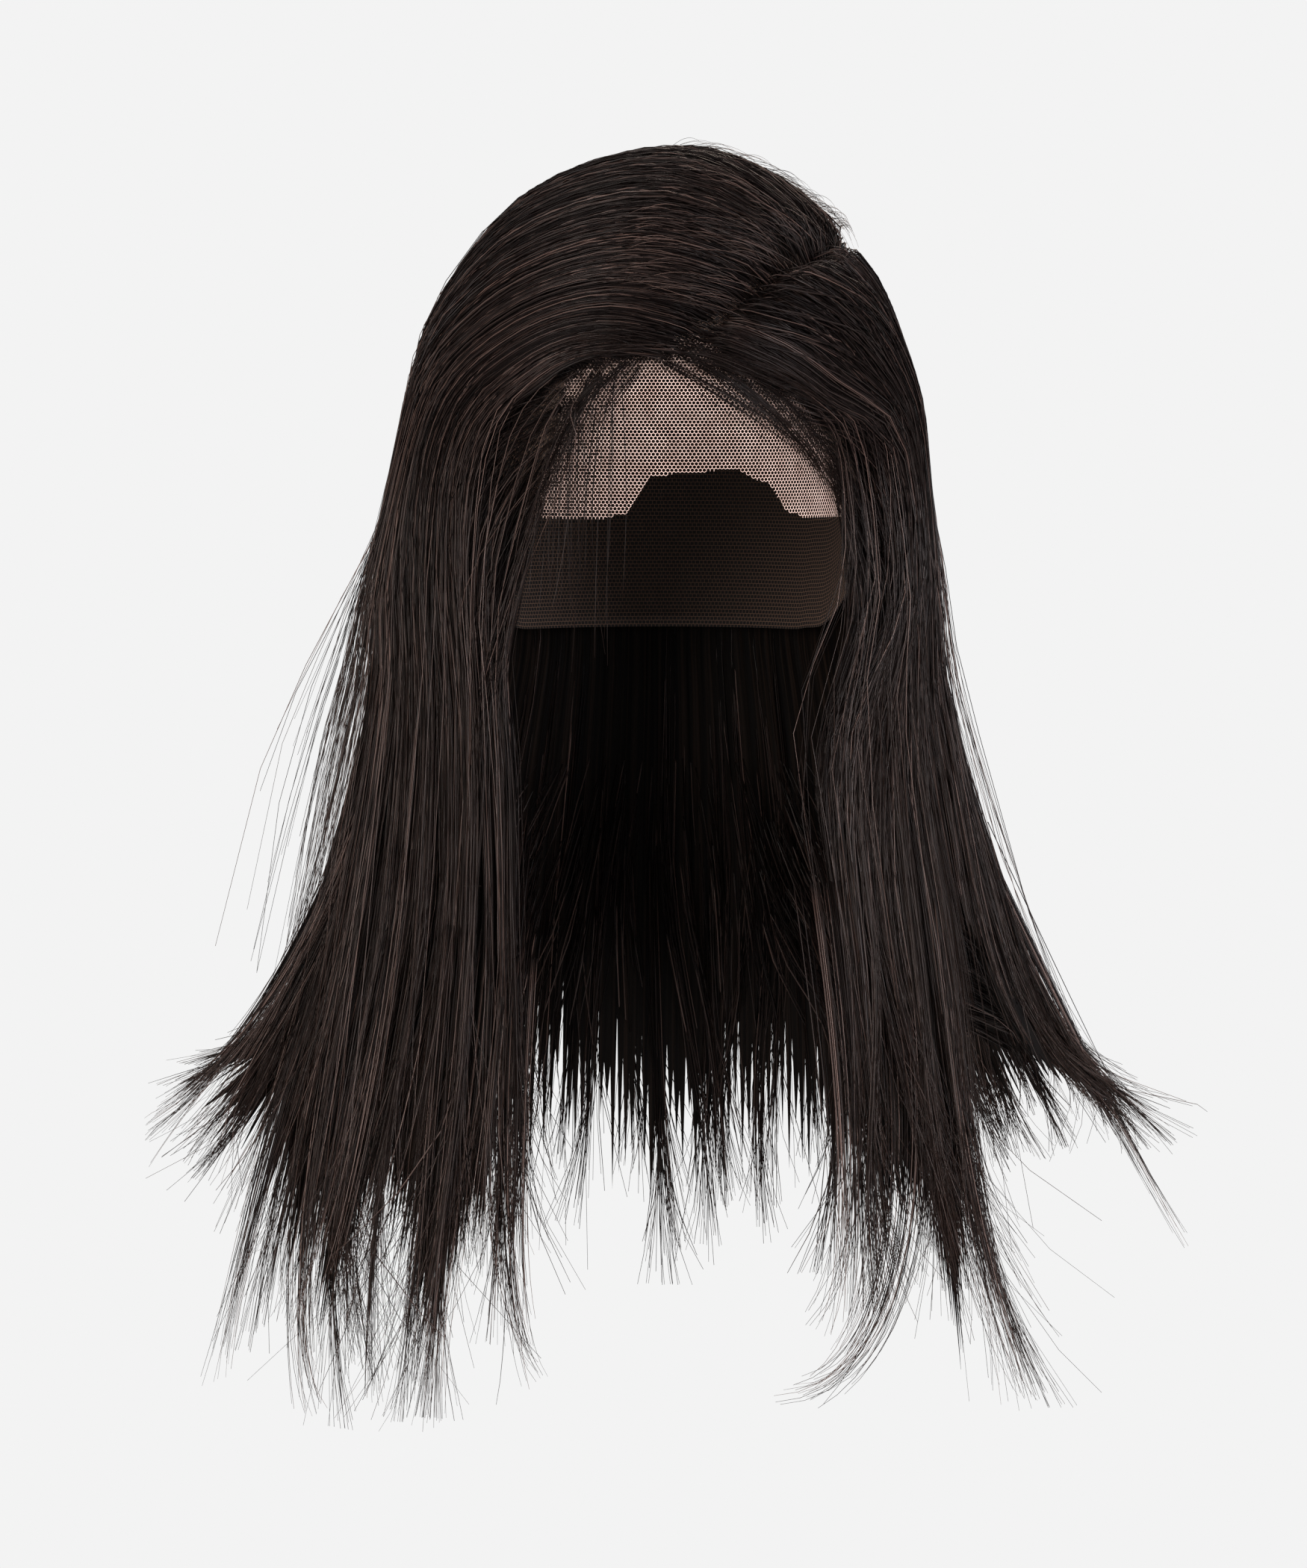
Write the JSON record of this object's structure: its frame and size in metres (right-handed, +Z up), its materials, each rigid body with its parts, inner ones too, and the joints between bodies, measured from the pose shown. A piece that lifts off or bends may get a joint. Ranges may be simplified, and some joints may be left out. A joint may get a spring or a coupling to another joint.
{
  "type": "full lace wig",
  "caption": "Full lace wig: a thin net cap with an untrimmed scalloped front edge, carrying long straight dark hair parted deep on one side and hanging past the shoulders.",
  "frame": {"origin": "inside top of the lace cap, where the top of the head bears", "axes": "+Z up out of the crown, -Y out of the face, +X towards the wearer's left"},
  "size_m": [0.3525, 0.2266, 0.448],
  "materials": {
    "lace": "fine brown hexagon net, matt, see-through",
    "hair": "straight brown-black hair with a soft sheen"
  },
  "bodies": {
    "root": {"lace_cap": "lace", "hair_right": "hair", "hair_back": "hair", "hair_left": "hair"}
  },
  "joints": []
}
